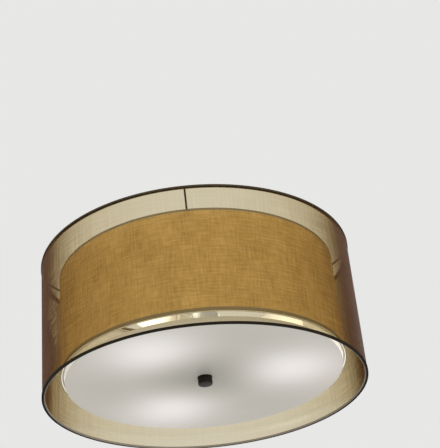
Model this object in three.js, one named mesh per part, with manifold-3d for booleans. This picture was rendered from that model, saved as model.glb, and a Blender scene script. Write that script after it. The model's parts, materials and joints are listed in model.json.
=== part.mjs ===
// A round ceiling light: a sheer drum shade round a linen one, three bulbs and a diffuser.
// Millimetres, +Z up. The origin is the middle of the mounting, on the ceiling, and the light hangs below it.

import * as THREE from 'three';
import { mergeVertices } from 'three/addons/utils/BufferGeometryUtils.js';
import Module from 'manifold-3d';

const wasm = await Module();
wasm.setup();

// Divisions of round shapes
const drumSides = 60;
const canopySides = 32;
const turnedSides = 16;
const smallSides = 12;
const wireSides = 6;
const ringSides = 4;
const hexSides = 6;
const roundSteps = 4;

// Clearances
const gap = 0.3;
const overrun = 2;

// Outer shade, measured over its trims
const outerRadius = 254;
const outerHeight = 226;
const ceilingToOuter = 64;
const trimHeight = 3;
const trimThickness = 0.6;
const sheerThickness = 0.6;
const outerWireRadius = 1.8;

// Inner shade
const innerRadius = 224.5;
const innerHeight = 168.9;
const outerToInner = 22.6;
const linenThickness = 0.8;
const linerThickness = 0.5;
const innerWireRadius = 1.6;

// Spider that carries both shades
const armCount = 4;
const armTurn = -1.5;
const armWireRadius = 1.5;
const armElbowOutset = 1.5;
const hubRadius = 16;
const hubThickness = 3;

// Diffuser and its fixings
const diffuserInset = 6;
const diffuserThickness = 3;
const diffuserDrop = 3;
const diffuserHoleRadius = 5.2;
const rodRadius = 3.175;
const rodNutFlats = 11;
const rodNutHeight = 5;
const rodThreadShow = 1.5;
const seatWasherRadius = 12;
const seatWasherThickness = 1.5;
const finialRadius = 11.5;
const finialHeight = 11;
const finialThreadDepth = 9;
const finialBevel = 0.5;
const finialWasherRadius = 12;
const finialWasherThickness = 1.2;

// Bracket, studs and canopy
const bracketLength = 106;
const bracketWidth = 22;
const bracketThickness = 2;
const bracketSlotSpacing = 70;
const bracketSlotLength = 12;
const bracketSlotWidth = 4.6;
const studSpacing = 89;
const studRadius = 2;
const studNutFlats = 7;
const studNutHeight = 3.2;
const canopyRadius = 65;
const canopyDepth = 24;
const canopyWall = 1.2;
const canopyRim = 4;
const canopyShoulder = 12;
const capNutRadius = 5.5;
const capNutHeight = 10;
const capNutThreadDepth = 6.8;

// Stem
const pipeRadius = 5.15;
const pipeBoreRadius = 3.4;
const pipeThreadShow = 3;
const pipeNutFlats = 17;
const pipeNutHeight = 4;
const stemCoverRadius = 8;
const stemCoverWall = 1.4;

// Cluster, the cup that carries the sockets
const clusterRadius = 32;
const clusterRise = 32;
const clusterDrop = 18;
const clusterWall = 3;
const clusterTopThickness = 5;
const coverThickness = 3;
const coverSpigotHeight = 5;
const coverSpigotWall = 2.5;

// Lamps, one socket and bulb each
const lampCount = 3;
const lampTurn = -4;
const bulbToDiffuser = 40;
const nippleRadius = 5;
const nippleShow = 8;
const nippleInset = 2;
const housingRadius = 20;
const housingLength = 43;
const housingFloor = 14.9;
const shellThickness = 0.5;
const shellInset = 1.5;
const bulbBaseRadius = 13;
const bulbBaseLength = 25;
const bulbContactRadius = 4.5;
const bulbContactHeight = 2.5;
const bulbInsulatorHeight = 4;
const bulbNeckInset = 0.5;
const bulbRadius = 30;
const bulbLightCentre = 78;
const glassThickness = 0.8;

// Wiring
const wireRadius = 1;
const wireOffset = 1.6;
const wireRunToSplice = 13;
const wireBendReach = 6;
const spliceOffset = 5;
const spliceRadius = 2.6;
const spliceHeight = 6;
const wireNutRadius = 5.5;
const wireNutTipRadius = 3.5;
const wireNutLength = 21;
const wireNutThreadDepth = 8;
const wireNutDrop = 10.5;
const wireNutReach = 12;
const groundWireRadius = 0.8;
const groundScrewPlace = 17;
const groundScrewRadius = 1.9;
const groundScrewFlats = 6.5;
const groundScrewHead = 3;
const groundWireSag = 5;

// Heights worked out from the sizes above
const outerTop = -ceilingToOuter;
const outerBottom = outerTop - outerHeight;
const innerTop = outerTop - outerToInner;
const innerBottom = innerTop - innerHeight;
const diffuserTop = innerBottom - diffuserDrop;
const diffuserBottom = diffuserTop - diffuserThickness;
const lampHeight = diffuserTop + bulbToDiffuser + bulbRadius;
const clusterTop = lampHeight + clusterRise;
const clusterBottom = lampHeight - clusterDrop;
const coverTop = clusterBottom - gap;
const coverBottom = coverTop - coverThickness;
const canopyFloor = -canopyDepth + canopyWall;
const armHeight = innerTop + gap + armWireRadius;
const hubTop = armHeight + hubThickness / 2;
const hubBottom = armHeight - hubThickness / 2;
const spiderNutBottom = hubBottom - gap - pipeNutHeight;
const canopyNutTop = canopyFloor + gap + pipeNutHeight;
const pipeTop = canopyNutTop + pipeThreadShow;
const clusterNutBottom = clusterTop - clusterTopThickness - gap - pipeNutHeight;
const pipeBottom = clusterNutBottom - pipeThreadShow / 2;
const rodNutTop = coverTop + gap + rodNutHeight;
const rodTop = rodNutTop + rodThreadShow;
const seatWasherBottom = diffuserTop + gap;
const seatNutBottom = seatWasherBottom + seatWasherThickness + gap;
const finialWasherTop = diffuserBottom - gap;
const finialTop = finialWasherTop - finialWasherThickness - gap;
const rodBottom = finialTop - finialThreadDepth + gap;

// Radii worked out from the sizes above
const pipeHoleRadius = pipeRadius + gap;
const rodHoleRadius = rodRadius + gap;
const sheerRadius = outerRadius - trimThickness - gap;
const outerRingRadius = sheerRadius - sheerThickness - gap - outerWireRadius;
const linerRadius = innerRadius - linenThickness - gap;
const innerRingRadius = linerRadius - linerThickness - gap - innerWireRadius;
const diffuserRadius = innerRadius - diffuserInset;
const clusterInside = clusterRadius - clusterWall;

// Places along a lamp, measured from the light's axis
const socketBack = clusterRadius + nippleShow;
const socketFloor = socketBack + housingFloor;
const shellBack = socketFloor + gap;
const shellFloor = shellBack + shellThickness;
const socketMouth = socketBack + housingLength;
const bulbTip = shellFloor + gap;
const shellInside = bulbBaseRadius + gap;

const colours = {
  bronze: { color: 0x2b2118, roughness: 0.45, metalness: 0.8 },
  steel: { color: 0xa9abad, roughness: 0.35, metalness: 1 },
  brass: { color: 0xb8934a, roughness: 0.35, metalness: 1 },
  copper: { color: 0xb06a3c, roughness: 0.35, metalness: 1 },
  green: { color: 0x1f6b3a, roughness: 0.5, metalness: 0.3 },
  sheer: { color: 0x8a6a4a, roughness: 0.4, metalness: 0.1, transparent: true, opacity: 0.45 },
  linen: { color: 0xa5824a, roughness: 0.9, metalness: 0 },
  liner: { color: 0xefe9dc, roughness: 0.6, metalness: 0 },
  diffuser: { color: 0xf2efe6, roughness: 0.4, metalness: 0 },
  porcelain: { color: 0xece7da, roughness: 0.25, metalness: 0 },
  glass: { color: 0xf7f3e8, roughness: 0.3, metalness: 0 },
  blackWire: { color: 0x161616, roughness: 0.6, metalness: 0 },
  whiteWire: { color: 0xe4e2dc, roughness: 0.6, metalness: 0 },
  orange: { color: 0xd9701e, roughness: 0.6, metalness: 0 },
};

const light = new THREE.Group();

// Adds a piece, each with a material of its own
function add(name, geometry, colour, parent = light) {
  const mesh = new THREE.Mesh(geometry, new THREE.MeshStandardMaterial(colours[colour]));
  mesh.name = name;
  parent.add(mesh);
  return mesh;
}

// Where a lamp points, about the light's axis
function lampAngle(i) {
  return THREE.MathUtils.degToRad(lampTurn) + (i / lampCount) * 2 * Math.PI;
}

// A group turned about the light's axis, for pieces that repeat round it
function turned(angle) {
  const group = new THREE.Group();
  group.rotation.z = angle;
  light.add(group);
  return group;
}

function toSolid(geometry) {
  const bare = geometry.clone();
  bare.deleteAttribute('normal');
  bare.deleteAttribute('uv');
  const merged = mergeVertices(bare);
  return new wasm.Manifold(new wasm.Mesh({
    numProp: 3,
    vertProperties: new Float32Array(merged.attributes.position.array),
    triVerts: new Uint32Array(merged.index.array),
  }));
}

function fromSolid(solid) {
  const { vertProperties, triVerts } = solid.getMesh();
  const geometry = new THREE.BufferGeometry();
  geometry.setAttribute('position', new THREE.BufferAttribute(vertProperties, 3));
  geometry.setIndex(new THREE.BufferAttribute(triVerts, 1));
  return geometry;
}

function cut(geometry, cutters) {
  return fromSolid(cutters.reduce((solid, cutter) => solid.subtract(toSolid(cutter)), toSolid(geometry)));
}

function joined(geometries) {
  return fromSolid(geometries.map(toSolid).reduce((solid, other) => solid.add(other)));
}

// Turns a profile of [radius, height] points about the Z axis; the points run anticlockwise
function lathe(points, sides = turnedSides) {
  const profile = points.map(([radius, height]) => new THREE.Vector2(radius, height));
  return new THREE.LatheGeometry(profile, sides).rotateX(Math.PI / 2);
}

// Lays a shape made along Z over on its side, along X
function laidAlongX(geometry) {
  return geometry.rotateY(Math.PI / 2);
}

function tube(outside, inside, bottom, top, sides = turnedSides) {
  return lathe([[inside, bottom], [outside, bottom], [outside, top], [inside, top], [inside, bottom]], sides);
}

function post(radius, bottom, top, sides = turnedSides) {
  return lathe([[0, bottom], [radius, bottom], [radius, top], [0, top]], sides);
}

// A thin round wall, given its outside
function drumShell(outside, thickness, bottom, top) {
  return tube(outside, outside - thickness, bottom, top, drumSides);
}

// A ring of round wire
function wireRing(ringRadius, radius, height) {
  const points = [];
  for (let i = 0; i <= ringSides; i += 1) {
    const angle = (i / ringSides) * 2 * Math.PI;
    points.push([ringRadius + radius * Math.cos(angle), height + radius * Math.sin(angle)]);
  }
  return lathe(points, drumSides);
}

// Straight round wire between two points
function straightWire(from, to, radius) {
  const along = new THREE.Vector3().subVectors(to, from);
  const geometry = new THREE.CylinderGeometry(radius, radius, along.length(), wireSides);
  const upright = new THREE.Vector3(0, 1, 0);
  const turn = new THREE.Quaternion().setFromUnitVectors(upright, along.normalize());
  const middle = new THREE.Vector3().addVectors(from, to).multiplyScalar(1 / 2);
  return geometry.applyQuaternion(turn).translate(middle.x, middle.y, middle.z);
}

function circleShape(radius, sides) {
  const points = [];
  for (let i = 0; i < sides; i += 1) {
    const angle = (i / sides) * 2 * Math.PI;
    points.push(new THREE.Vector2(radius * Math.cos(angle), radius * Math.sin(angle)));
  }
  return new THREE.Shape(points);
}

// Round wire bent sharply at each point of a list between its ends
function wireRun(points, radius) {
  const stretches = points.slice(1).map((point, i) => straightWire(points[i], point, radius));
  const elbows = points.slice(1, -1).map((point) => new THREE.IcosahedronGeometry(radius)
    .translate(point.x, point.y, point.z));
  return joined([...stretches, ...elbows]);
}

// A hexagonal nut, a flat hexagon where it has no bore
function hexNut(flats, bore, bottom, height) {
  const shape = circleShape(flats / Math.sqrt(3), hexSides);
  if (bore > 0) shape.holes.push(circleShape(bore, smallSides));
  const nut = new THREE.ExtrudeGeometry(shape, { depth: height, bevelEnabled: false });
  return nut.translate(0, 0, bottom);
}

// Slotted bar that goes on the ceiling box; its top face lies on the ceiling
function bracket() {
  const half = bracketLength / 2;
  const side = bracketWidth / 2;
  const shape = new THREE.Shape();
  shape.moveTo(-half + side, -side);
  shape.lineTo(half - side, -side);
  shape.absarc(half - side, 0, side, -Math.PI / 2, Math.PI / 2);
  shape.lineTo(-half + side, side);
  shape.absarc(-half + side, 0, side, Math.PI / 2, Math.PI * 3 / 2);
  for (const sign of [-1, 1]) {
    const slot = new THREE.Path();
    const end = bracketSlotWidth / 2;
    const reach = bracketSlotLength / 2 - end;
    const middle = sign * bracketSlotSpacing / 2;
    slot.moveTo(middle - reach, -end);
    slot.lineTo(middle + reach, -end);
    slot.absarc(middle + reach, 0, end, -Math.PI / 2, Math.PI / 2);
    slot.lineTo(middle - reach, end);
    slot.absarc(middle - reach, 0, end, Math.PI / 2, Math.PI * 3 / 2);
    shape.holes.push(slot);
    shape.holes.push(new THREE.Path().absarc(sign * studSpacing / 2, 0, studRadius + gap, 0, Math.PI * 2));
  }
  shape.holes.push(new THREE.Path().absarc(0, 0, pipeHoleRadius, 0, Math.PI * 2));
  shape.holes.push(new THREE.Path().absarc(-groundScrewPlace, 0, groundScrewRadius + gap, 0, Math.PI * 2));
  const options = { depth: bracketThickness, bevelEnabled: false, curveSegments: roundSteps };
  return new THREE.ExtrudeGeometry(shape, options).translate(0, 0, -bracketThickness);
}

function groundScrew() {
  const headTop = -bracketThickness - 3 * gap - 2 * groundWireRadius;
  const head = hexNut(groundScrewFlats, 0, headTop - groundScrewHead, groundScrewHead);
  const shank = post(groundScrewRadius, headTop - gap, -gap, smallSides);
  return joined([head, shank]).translate(-groundScrewPlace, 0, 0);
}

// From under the ground screw's head down to the canopy's floor, beside the pipe's nut
function groundWire() {
  const start = -groundScrewPlace + groundScrewRadius + gap;
  const end = -pipeNutFlats / Math.sqrt(3) - groundWireRadius - gap;
  const level = -bracketThickness - gap - groundWireRadius;
  return wireRun([
    new THREE.Vector3(start, 0, level),
    new THREE.Vector3(end, 0, level),
    new THREE.Vector3(end, 0, canopyFloor + gap),
  ], groundWireRadius);
}

function canopyStud() {
  return post(studRadius, -canopyDepth - gap - capNutThreadDepth + gap, 0, smallSides);
}

function capNut() {
  const top = -canopyDepth - gap;
  const waist = top - capNutHeight + capNutRadius;
  const points = [[0, top - capNutHeight]];
  for (let i = 1; i <= roundSteps; i += 1) {
    const angle = (i / roundSteps) * Math.PI / 2;
    points.push([capNutRadius * Math.sin(angle), waist - capNutRadius * Math.cos(angle)]);
  }
  points.push([capNutRadius, top], [studRadius + gap, top], [studRadius + gap, top - capNutThreadDepth]);
  points.push([0, top - capNutThreadDepth]);
  return lathe(points, smallSides);
}

// A shallow dish with rounded shoulders, open on the ceiling side
function canopy() {
  const points = [[pipeHoleRadius, -canopyDepth]];
  const shoulder = (radius, height, angle) => [
    radius - canopyShoulder + canopyShoulder * Math.sin(angle),
    -height - (canopyDepth - canopyRim) * Math.cos(angle),
  ];
  for (let i = 0; i <= roundSteps; i += 1) {
    points.push(shoulder(canopyRadius, canopyRim, (i / roundSteps) * Math.PI / 2));
  }
  points.push([canopyRadius, 0], [canopyRadius - canopyWall, 0]);
  for (let i = roundSteps; i >= 0; i -= 1) {
    points.push(shoulder(canopyRadius - canopyWall, canopyRim - canopyWall, (i / roundSteps) * Math.PI / 2));
  }
  points.push([pipeHoleRadius, canopyFloor], [pipeHoleRadius, -canopyDepth]);
  const hole = post(studRadius + gap, -canopyDepth - overrun, canopyFloor + overrun, smallSides);
  const holes = [-1, 1].map((sign) => hole.clone().translate(sign * studSpacing / 2, 0, 0));
  return cut(lathe(points, canopySides), holes);
}

// A bent wire from the hub over the inner shade and up to the outer shade's top ring
function spiderArm() {
  const start = new THREE.Vector3(hubRadius + gap, 0, armHeight);
  const elbow = new THREE.Vector3(innerRadius + armElbowOutset, 0, armHeight);
  const ring = new THREE.Vector3(outerRingRadius, 0, outerTop - outerWireRadius);
  const rise = new THREE.Vector3().subVectors(ring, elbow).setLength(outerWireRadius + gap);
  const end = new THREE.Vector3().subVectors(ring, rise);
  return wireRun([start, elbow, end], armWireRadius);
}

function clusterBody() {
  const inside = clusterTop - clusterTopThickness;
  const cup = lathe([
    [pipeHoleRadius, inside], [clusterInside, inside], [clusterInside, clusterBottom],
    [clusterRadius, clusterBottom], [clusterRadius, clusterTop], [pipeHoleRadius, clusterTop],
    [pipeHoleRadius, inside],
  ], canopySides);
  const ports = [];
  for (let i = 0; i < lampCount; i += 1) {
    const port = laidAlongX(post(nippleRadius + gap, clusterInside - overrun, clusterRadius + overrun));
    ports.push(port.translate(0, 0, lampHeight).rotateZ(lampAngle(i)));
  }
  return cut(cup, ports);
}

// Plate under the cluster, with a short rim that stands up inside it
function clusterCover() {
  const spigotTop = coverTop + coverSpigotHeight;
  const spigotRadius = clusterInside - gap;
  return lathe([
    [rodHoleRadius, coverBottom], [clusterRadius, coverBottom], [clusterRadius, coverTop],
    [spigotRadius, coverTop], [spigotRadius, spigotTop], [spigotRadius - coverSpigotWall, spigotTop],
    [spigotRadius - coverSpigotWall, coverTop], [rodHoleRadius, coverTop], [rodHoleRadius, coverBottom],
  ], canopySides);
}

function socketHousing() {
  const mouthRadius = shellInside + shellThickness + gap;
  return laidAlongX(lathe([
    [nippleRadius + gap, socketBack], [housingRadius, socketBack], [housingRadius, socketMouth],
    [mouthRadius, socketMouth], [mouthRadius, socketFloor], [nippleRadius + gap, socketFloor],
    [nippleRadius + gap, socketBack],
  ]));
}

function socketShell() {
  const mouth = socketMouth - shellInset;
  return laidAlongX(lathe([
    [0, shellBack], [shellInside + shellThickness, shellBack], [shellInside + shellThickness, mouth],
    [shellInside, mouth], [shellInside, shellFloor], [0, shellFloor],
  ]));
}

// Contact tip, insulator and screw cap of a bulb
function bulbBase() {
  const shoulder = bulbTip + bulbContactHeight + bulbInsulatorHeight;
  return laidAlongX(lathe([
    [0, bulbTip], [bulbContactRadius, bulbTip], [bulbContactRadius, bulbTip + bulbContactHeight],
    [bulbBaseRadius, shoulder], [bulbBaseRadius, bulbTip + bulbBaseLength], [0, bulbTip + bulbBaseLength],
  ]));
}

// Outline of a bulb's glass from its neck to its end: a smooth swell, then a half sphere
function bulbOutline(wall) {
  const neck = bulbTip + bulbBaseLength + gap;
  const centre = bulbTip + bulbLightCentre;
  const neckRadius = bulbBaseRadius - bulbNeckInset;
  const points = [];
  for (let i = 0; i <= roundSteps; i += 1) {
    const share = i / roundSteps;
    const swell = (1 - Math.cos(Math.PI * share)) / 2;
    points.push([neckRadius + (bulbRadius - neckRadius) * swell - wall, neck + (centre - neck) * share]);
  }
  for (let i = 1; i <= roundSteps; i += 1) {
    const angle = (i / roundSteps) * Math.PI / 2;
    const radius = bulbRadius - wall;
    points.push([i < roundSteps ? radius * Math.cos(angle) : 0, centre + radius * Math.sin(angle)]);
  }
  return points;
}

function bulbGlass() {
  const outline = bulbOutline(0);
  const hollow = bulbOutline(glassThickness);
  const neck = outline[0][1];
  const outside = lathe([[0, neck], ...outline]);
  const inside = lathe([[0, neck - overrun], [hollow[0][0], neck - overrun], ...hollow]);
  return laidAlongX(cut(outside, [inside]));
}

// Three tails from the sockets, joined in a crimp and carried up the pipe to a wire nut by one wire
function harness(side, spliceMiddle, tailSides) {
  const axis = new THREE.Vector3(0, 0, 1);
  const middle = new THREE.Vector3(side * spliceOffset, 0, spliceMiddle).applyAxisAngle(axis, lampAngle(0));
  const splice = post(spliceRadius, -spliceHeight / 2, spliceHeight / 2, smallSides)
    .translate(middle.x, middle.y, middle.z);
  const tails = tailSides.map((tailSide, i) => {
    const [socketEnd, bend] = [shellBack - gap, wireRunToSplice].map((reach) => (
      new THREE.Vector3(reach, tailSide * wireOffset, lampHeight)
        .applyAxisAngle(axis, lampAngle(i))
    ));
    return wireRun([socketEnd, bend, middle], wireRadius);
  });
  const across = side * wireOffset;
  const supply = wireRun([
    middle,
    new THREE.Vector3(across, 0, pipeBottom - wireRadius),
    new THREE.Vector3(across, 0, pipeTop + wireRadius),
    new THREE.Vector3(across, side * wireBendReach, -wireNutDrop),
    new THREE.Vector3(across, side * (wireNutReach + wireNutThreadDepth - wireRadius), -wireNutDrop),
  ], wireRadius);
  return joined([splice, ...tails, supply]);
}

// A twist-on connector that lies on its side in the canopy, its mouth towards the pipe
function wireNut(side) {
  const mouth = wireRadius + gap;
  const cone = lathe([
    [mouth, 0], [wireNutRadius, 0], [wireNutTipRadius, wireNutLength], [0, wireNutLength],
    [0, wireNutThreadDepth], [mouth, wireNutThreadDepth], [mouth, 0],
  ], smallSides);
  return cone.rotateX(-side * Math.PI / 2).translate(side * wireOffset, side * wireNutReach, -wireNutDrop);
}

function finial() {
  const bottom = finialTop - finialHeight;
  return lathe([
    [0, bottom], [finialRadius - finialBevel, bottom], [finialRadius, bottom + finialBevel],
    [finialRadius, finialTop - finialBevel], [finialRadius - finialBevel, finialTop],
    [rodHoleRadius, finialTop], [rodHoleRadius, finialTop - finialThreadDepth],
    [0, finialTop - finialThreadDepth],
  ]);
}

// Ceiling fixings, canopy and stem
add('ceiling_bracket', bracket(), 'steel');
add('ground_screw', groundScrew(), 'green');
add('ground_wire', groundWire(), 'copper');
for (const [name, sign] of [['left', -1], ['right', 1]]) {
  const place = sign * studSpacing / 2;
  const lockNutBottom = -bracketThickness - gap - studNutHeight;
  const lockNut = hexNut(studNutFlats, studRadius + gap, lockNutBottom, studNutHeight);
  add(`canopy_stud_${name}`, canopyStud(), 'steel').position.x = place;
  add(`stud_lock_nut_${name}`, lockNut, 'steel').position.x = place;
  add(`canopy_cap_nut_${name}`, capNut(), 'bronze').position.x = place;
}
add('canopy', canopy(), 'bronze');
add('stem_pipe', tube(pipeRadius, pipeBoreRadius, pipeBottom, pipeTop), 'steel');
add('canopy_pipe_nut', hexNut(pipeNutFlats, pipeHoleRadius, canopyFloor + gap, pipeNutHeight), 'steel');
const stemCover = (bottom, top) => tube(stemCoverRadius, stemCoverRadius - stemCoverWall, bottom, top);
add('upper_stem_cover', stemCover(hubTop + gap, -canopyDepth - gap), 'bronze');
add('lower_stem_cover', stemCover(clusterTop + gap, spiderNutBottom - gap), 'bronze');

// Spider
add('spider_hub', tube(hubRadius, pipeHoleRadius, hubBottom, hubTop), 'bronze');
add('spider_nut', hexNut(pipeNutFlats, pipeHoleRadius, spiderNutBottom, pipeNutHeight), 'steel');
for (let i = 0; i < armCount; i += 1) {
  const angle = THREE.MathUtils.degToRad(armTurn) + (i / armCount) * 2 * Math.PI;
  add(`spider_arm_${i + 1}`, spiderArm(), 'bronze', turned(angle));
}

// Outer shade
const topTrimBottom = outerTop - trimHeight;
const bottomTrimTop = outerBottom + trimHeight;
add('outer_sheer_shade', drumShell(sheerRadius, sheerThickness, outerBottom, outerTop), 'sheer');
add('outer_top_ring', wireRing(outerRingRadius, outerWireRadius, outerTop - outerWireRadius), 'bronze');
add('outer_bottom_ring', wireRing(outerRingRadius, outerWireRadius, outerBottom + outerWireRadius), 'bronze');
add('outer_top_trim', drumShell(outerRadius, trimThickness, topTrimBottom, outerTop), 'bronze');
add('outer_bottom_trim', drumShell(outerRadius, trimThickness, outerBottom, bottomTrimTop), 'bronze');

// Inner shade
add('inner_linen_shade', drumShell(innerRadius, linenThickness, innerBottom, innerTop), 'linen');
add('inner_shade_liner', drumShell(linerRadius, linerThickness, innerBottom, innerTop), 'liner');
add('inner_top_ring', wireRing(innerRingRadius, innerWireRadius, innerTop - innerWireRadius), 'liner');
add('inner_bottom_ring', wireRing(innerRingRadius, innerWireRadius, innerBottom + innerWireRadius), 'liner');

// Cluster and lamps
add('cluster_body', clusterBody(), 'steel');
add('cluster_pipe_nut', hexNut(pipeNutFlats, pipeHoleRadius, clusterNutBottom, pipeNutHeight), 'steel');
add('cluster_cover', clusterCover(), 'steel');
for (let i = 0; i < lampCount; i += 1) {
  const lamp = turned(lampAngle(i));
  lamp.position.z = lampHeight;
  const nipple = tube(nippleRadius, pipeBoreRadius, clusterInside - nippleInset, socketFloor - nippleInset);
  add(`socket_nipple_${i + 1}`, laidAlongX(nipple), 'steel', lamp);
  add(`socket_housing_${i + 1}`, socketHousing(), 'porcelain', lamp);
  add(`socket_shell_${i + 1}`, socketShell(), 'brass', lamp);
  add(`bulb_base_${i + 1}`, bulbBase(), 'steel', lamp);
  add(`bulb_glass_${i + 1}`, bulbGlass(), 'glass', lamp);
}

// Wiring
add('live_harness', harness(1, lampHeight + spliceHeight / 2, [1, -1, 1]), 'blackWire');
add('neutral_harness', harness(-1, lampHeight - spliceHeight, [-1, 1, -1]), 'whiteWire');
add('live_wire_nut', wireNut(1), 'orange');
add('neutral_wire_nut', wireNut(-1), 'orange');

// Diffuser and what holds it
add('diffuser_rod', post(rodRadius, rodBottom, rodTop), 'steel');
add('rod_nut', hexNut(rodNutFlats, rodHoleRadius, coverTop + gap, rodNutHeight), 'steel');
add('seat_nut', hexNut(rodNutFlats, rodHoleRadius, seatNutBottom, rodNutHeight), 'steel');
const seatWasherTop = seatWasherBottom + seatWasherThickness;
add('seat_washer', tube(seatWasherRadius, rodHoleRadius, seatWasherBottom, seatWasherTop), 'steel');
add('diffuser', tube(diffuserRadius, diffuserHoleRadius, diffuserBottom, diffuserTop, drumSides), 'diffuser');
const finialWasherBottom = finialWasherTop - finialWasherThickness;
add('finial_washer', tube(finialWasherRadius, rodHoleRadius, finialWasherBottom, finialWasherTop), 'bronze');
add('finial', finial(), 'bronze');

export default light;
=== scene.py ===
import json
import math

import bmesh
import bpy
from mathutils import Matrix, Vector


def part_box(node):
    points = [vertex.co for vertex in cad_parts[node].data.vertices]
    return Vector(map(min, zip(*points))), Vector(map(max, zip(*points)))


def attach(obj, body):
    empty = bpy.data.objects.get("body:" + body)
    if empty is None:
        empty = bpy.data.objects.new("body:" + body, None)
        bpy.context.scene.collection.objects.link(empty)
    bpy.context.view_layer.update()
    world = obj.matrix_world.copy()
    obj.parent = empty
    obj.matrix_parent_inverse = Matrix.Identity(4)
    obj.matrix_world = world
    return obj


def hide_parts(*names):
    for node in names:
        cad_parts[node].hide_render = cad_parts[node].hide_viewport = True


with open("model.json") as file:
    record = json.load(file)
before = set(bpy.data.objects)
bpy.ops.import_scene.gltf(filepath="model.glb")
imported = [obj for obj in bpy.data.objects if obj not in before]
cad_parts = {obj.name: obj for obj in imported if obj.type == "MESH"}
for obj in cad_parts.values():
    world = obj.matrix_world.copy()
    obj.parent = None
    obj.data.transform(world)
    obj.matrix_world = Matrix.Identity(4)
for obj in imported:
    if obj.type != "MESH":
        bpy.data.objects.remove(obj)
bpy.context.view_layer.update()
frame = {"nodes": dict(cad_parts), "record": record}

# Camera
# Below the light and in front of it, looking up at the diffuser and the near walls of both
# shades, with the small turn and roll of a camera held by hand.
CAMERA_PLACE = Vector((0.0, -1.62146, -0.93514))
CAMERA_YAW = 0.0294
CAMERA_PITCH = 0.5295
CAMERA_ROLL = -0.0997
LENS_MM = 88.774

ahead = Vector((
    math.sin(CAMERA_YAW) * math.cos(CAMERA_PITCH),
    math.cos(CAMERA_YAW) * math.cos(CAMERA_PITCH),
    math.sin(CAMERA_PITCH),
))
level = Vector((math.cos(CAMERA_YAW), -math.sin(CAMERA_YAW), 0))
upright = level.cross(ahead)
across = level * math.cos(CAMERA_ROLL) + upright * math.sin(CAMERA_ROLL)
upwards = upright * math.cos(CAMERA_ROLL) - level * math.sin(CAMERA_ROLL)
camera = bpy.data.objects.new("camera", bpy.data.cameras.new("camera"))
camera.data.sensor_fit = "AUTO"
camera.data.sensor_width = 36
camera.data.lens = LENS_MM
camera.data.clip_start = 0.01
camera.matrix_world = Matrix.Translation(CAMERA_PLACE) @ Matrix((across, upwards, -ahead)).transposed().to_4x4()
bpy.context.scene.collection.objects.link(camera)
bpy.context.scene.camera = camera
bpy.context.scene.view_settings.view_transform = "Standard"

# Studio
# A pale floor well below the light, a pale surround and soft lamps. The camera, and what is
# seen in metal and glass, meets the surround's own pale tone; the rest takes its light from it.
FLOOR_HEIGHT = -3.0
FLOOR_REACH = 14
FLOOR_COLOUR = (0.48, 0.477, 0.468, 1)
FLOOR_LIFT = 0.61
SURROUND = (0.80, 0.80, 0.79, 1)
SURROUND_LIGHT = 0.62
LAMP_AIM = Vector((0, 0, -0.17))


def finish_of(name, **values):
    """A material for one finish, with plain values on its Principled sockets."""
    material = bpy.data.materials.new(name)
    material.use_nodes = True
    shader = material.node_tree.nodes["Principled BSDF"]
    for socket, value in values.items():
        shader.inputs[socket.replace("_", " ")].default_value = value
    return material


def node(material, kind, inputs=None, **settings):
    """Adds a shader node whose inputs are plain values or other nodes' outputs, and gives its outputs."""
    tree = material.node_tree
    made = tree.nodes.new("ShaderNode" + kind)
    for name, value in settings.items():
        setattr(made, name, value)
    for name, value in (inputs or {}).items():
        if isinstance(value, bpy.types.NodeSocket):
            tree.links.new(value, made.inputs[name])
        else:
            made.inputs[name].default_value = value
    return made.outputs


def drive(material, **sockets):
    """Links outputs to the sockets of a material's Principled node."""
    shader = material.node_tree.nodes["Principled BSDF"]
    for name, output in sockets.items():
        material.node_tree.links.new(output, shader.inputs[name.replace("_", " ")])


def sums(material, operation, *values):
    """One step of arithmetic on outputs or numbers."""
    return node(material, "Math", dict(enumerate(values)), operation=operation)[0]


def in_plain_sight(material):
    """1 for what is seen directly or in metal or glass, and 0 for the light that falls on things."""
    rays = node(material, "LightPath")
    seen = sums(material, "MAXIMUM", rays["Is Camera Ray"], rays["Is Glossy Ray"])
    return sums(material, "MAXIMUM", seen, rays["Is Transmission Ray"])


def studio_lamp(name, place, size, watts):
    """A soft square lamp that shines on the middle of the light."""
    lamp = bpy.data.objects.new(name, bpy.data.lights.new(name, "AREA"))
    lamp.data.size = size
    lamp.data.energy = watts
    lamp.location = place
    lamp.rotation_euler = (LAMP_AIM - Vector(place)).to_track_quat("-Z", "Y").to_euler()
    bpy.context.scene.collection.objects.link(lamp)


world = bpy.data.worlds.new("surround")
bpy.context.scene.world = world
world.use_nodes = True
backdrop = world.node_tree.nodes["Background"]
backdrop.inputs["Color"].default_value = SURROUND
surround_strength = node(world, "MapRange", {"Value": in_plain_sight(world), "To Min": SURROUND_LIGHT})[0]
world.node_tree.links.new(surround_strength, backdrop.inputs["Strength"])

bm = bmesh.new()
bmesh.ops.create_grid(
    bm, x_segments=1, y_segments=1, size=FLOOR_REACH, matrix=Matrix.Translation((0, 0, FLOOR_HEIGHT)),
)
floor_mesh = bpy.data.meshes.new("floor")
bm.to_mesh(floor_mesh)
bm.free()
floor = bpy.data.objects.new("floor", floor_mesh)
floor_paint = finish_of("floor_paint", Base_Color=FLOOR_COLOUR, Roughness=0.9, Emission_Color=SURROUND)
drive(floor_paint, Emission_Strength=sums(floor_paint, "MULTIPLY", in_plain_sight(floor_paint), FLOOR_LIFT))
floor_mesh.materials.append(floor_paint)
bpy.context.scene.collection.objects.link(floor)

studio_lamp("key_lamp", (-1.0, -2.4, 3.1), 2.2, 88)
studio_lamp("low_lamp", (1.4, -2.2, -1.7), 2.0, 26)
studio_lamp("far_lamp", (0.8, 2.6, 0.5), 1.8, 24)
studio_lamp("top_lamp", (-0.5, 0.3, 2.2), 1.8, 10)

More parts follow.
